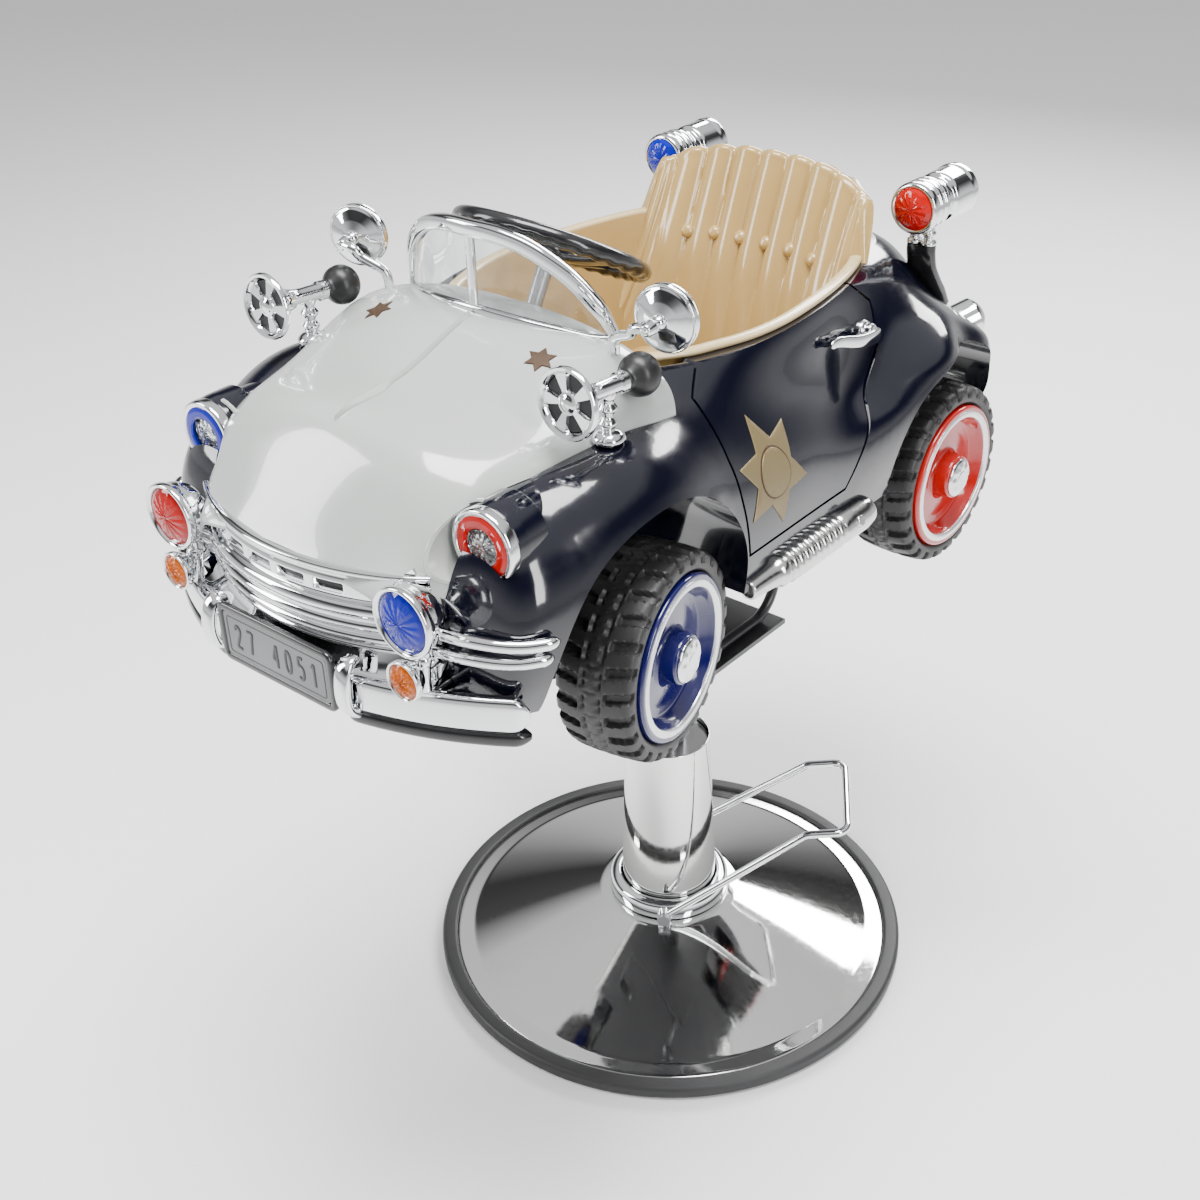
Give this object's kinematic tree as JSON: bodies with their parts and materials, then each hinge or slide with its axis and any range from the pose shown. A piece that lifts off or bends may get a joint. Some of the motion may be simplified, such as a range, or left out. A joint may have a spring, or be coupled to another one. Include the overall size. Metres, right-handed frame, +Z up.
{
  "type": "children's car barber chair",
  "caption": "Child's salon chair shaped like an open vintage patrol car on a pedal-pumped hydraulic column with a round mirror-finish base.",
  "frame": {"origin": "centre of the base's underside, on the floor", "axes": "+Z up along the ram, car nose towards -Y, the car's own left towards +X"},
  "size_m": [0.5999, 0.943, 1.0335],
  "materials": {
    "cover_steel": "mirror polished stainless",
    "plate_iron": "painted",
    "rim_rubber": "satin",
    "chrome": "polished",
    "pump_paint": "satin",
    "zinc_bolt": "plated",
    "frame_black": "satin powder coat",
    "floor_black": "moulded",
    "body_black": "high gloss navy black",
    "hood_white": "high gloss",
    "seat_beige": "gloss moulded",
    "clear": "clear",
    "red_clear": "coloured clear",
    "blue_clear": "coloured clear",
    "amber_clear": "coloured clear",
    "sign_grey": "brushed plate in dark frame",
    "bulb_rubber": "semi gloss",
    "stalk_black": "gloss",
    "pipe_silver": "satin chrome",
    "wheel_black": "gloss grip",
    "shaft_steel": "plain",
    "tyre_black": "moulded lugs",
    "rim_blue": "gloss blue with silver ring",
    "rim_red": "gloss red with silver ring"
  },
  "bodies": {
    "base": {"base_plate": "plate_iron", "base_cover": "cover_steel", "rubber_rim": "rim_rubber", "column_collar": "chrome", "column_shroud": "cover_steel", "pump_cylinder": "pump_paint", "base_bolts": "zinc_bolt"},
    "pedal": {"pump_pedal": "chrome"},
    "lift": {"lift_piston": "chrome"},
    "car": {"swivel_plate": "frame_black", "under_frame": "frame_black", "frame_bolts": "zinc_bolt", "floor_pan": "floor_black", "body_shell": "body_black", "hood_shell": "hood_white", "seat_tub": "seat_beige", "dashboard": "seat_beige", "windshield_frame": "chrome", "windshield_glass": "clear", "grille": "chrome", "bumper_blades": "chrome", "bumper_lip": "stalk_black", "number_plate": "sign_grey", "headlight_bezels": "chrome", "headlight_lenses": "clear", "red_lenses": "red_clear", "blue_lenses": "blue_clear", "amber_lenses": "amber_clear", "spot_housings": "chrome", "horns": "chrome", "horn_bulbs": "bulb_rubber", "mirror_stems": "chrome", "beacon_stalks": "stalk_black", "beacon_barrels": "chrome", "exhaust_pipes": "pipe_silver", "tail_lamps": "chrome", "rear_axle": "shaft_steel"},
    "left_door": {"door_left": "body_black", "door_handle_left": "chrome"},
    "right_door": {"door_right": "body_black", "door_handle_right": "chrome"},
    "steering": {"steering_wheel": "wheel_black", "steering_shaft": "shaft_steel"},
    "track_rod": {"tie_rod": "shaft_steel"},
    "left_knuckle": {"knuckle_left": "shaft_steel"},
    "right_knuckle": {"knuckle_right": "shaft_steel"},
    "left_mirror": {"mirror_left": "chrome"},
    "right_mirror": {"mirror_right": "chrome"},
    "front_left_wheel": {"tyre_front_left": "tyre_black", "rim_front_left": "rim_blue", "hubcap_front_left": "chrome"},
    "front_right_wheel": {"tyre_front_right": "tyre_black", "rim_front_right": "rim_blue", "hubcap_front_right": "chrome"},
    "rear_left_wheel": {"tyre_rear_left": "tyre_black", "rim_rear_left": "rim_red", "hubcap_rear_left": "chrome"},
    "rear_right_wheel": {"tyre_rear_right": "tyre_black", "rim_rear_right": "rim_red", "hubcap_rear_right": "chrome"}
  },
  "joints": [
    {"name": "pump_lift", "type": "slide", "parent": "base", "child": "lift", "axis": [0, 0, 1], "range_m": [-0.1, 0.06]},
    {"name": "chair_swivel", "type": "hinge", "parent": "lift", "child": "car", "pos_m": [0, 0, 0.49], "axis": [0, 0, 1], "continuous": true},
    {"name": "pedal_press", "type": "hinge", "parent": "base", "child": "pedal", "pos_m": [0, 0, 0.088], "axis": [-0.5563, 0.831, 0], "range_deg": [0, 22], "stiffness_Nm_per_rad": 6, "springref_deg": -20.05},
    {"name": "left_door_hinge", "type": "hinge", "parent": "car", "child": "left_door", "pos_m": [0.25, -0.203, 0.8], "axis": [0, 0, -1], "range_deg": [0, 55]},
    {"name": "right_door_hinge", "type": "hinge", "parent": "car", "child": "right_door", "pos_m": [-0.25, -0.203, 0.8], "axis": [0, 0, 1], "range_deg": [0, 55]},
    {"name": "steering_turn", "type": "hinge", "parent": "car", "child": "steering", "pos_m": [0, -0.17, 0.98], "axis": [0, 0.5, 0.866], "range_deg": [-50.4, 9.6]},
    {"name": "left_knuckle_turn", "type": "hinge", "parent": "car", "child": "left_knuckle", "pos_m": [0.15, -0.32, 0.68], "axis": [0, 0, 1], "range_deg": [-25.2, 4.8]},
    {"name": "right_knuckle_turn", "type": "hinge", "parent": "car", "child": "right_knuckle", "pos_m": [-0.15, -0.32, 0.68], "axis": [0, 0, 1], "range_deg": [-25.2, 4.8]},
    {"name": "tie_rod_slide", "type": "slide", "parent": "car", "child": "track_rod", "axis": [1, 0, 0], "range_m": [-0.026, 0.006]},
    {"name": "left_mirror_turn", "type": "hinge", "parent": "car", "child": "left_mirror", "pos_m": [0.191, -0.251, 0.971], "axis": [0, 0, 1], "range_deg": [-20, 20]},
    {"name": "right_mirror_turn", "type": "hinge", "parent": "car", "child": "right_mirror", "pos_m": [-0.191, -0.251, 0.971], "axis": [0, 0, 1], "range_deg": [-20, 20]},
    {"name": "front_left_spin", "type": "hinge", "parent": "left_knuckle", "child": "front_left_wheel", "pos_m": [0.21545, -0.30822, 0.681], "axis": [0.9842, 0.1771, 0], "continuous": true},
    {"name": "rear_left_spin", "type": "hinge", "parent": "car", "child": "rear_left_wheel", "pos_m": [0.2165, 0.188, 0.666], "axis": [1, 0, 0], "continuous": true},
    {"name": "front_right_spin", "type": "hinge", "parent": "right_knuckle", "child": "front_right_wheel", "pos_m": [-0.21545, -0.33178, 0.681], "axis": [0.9842, 0.1771, 0], "continuous": true},
    {"name": "rear_right_spin", "type": "hinge", "parent": "car", "child": "rear_right_wheel", "pos_m": [-0.2165, 0.188, 0.666], "axis": [1, 0, 0], "continuous": true}
  ],
  "couplings": [
    {"joint": "left_knuckle_turn", "follows": "steering_turn", "ratio": 0.5},
    {"joint": "right_knuckle_turn", "follows": "steering_turn", "ratio": 0.5},
    {"joint": "tie_rod_slide", "follows": "steering_turn", "m_per_rad": 0.0282}
  ]
}
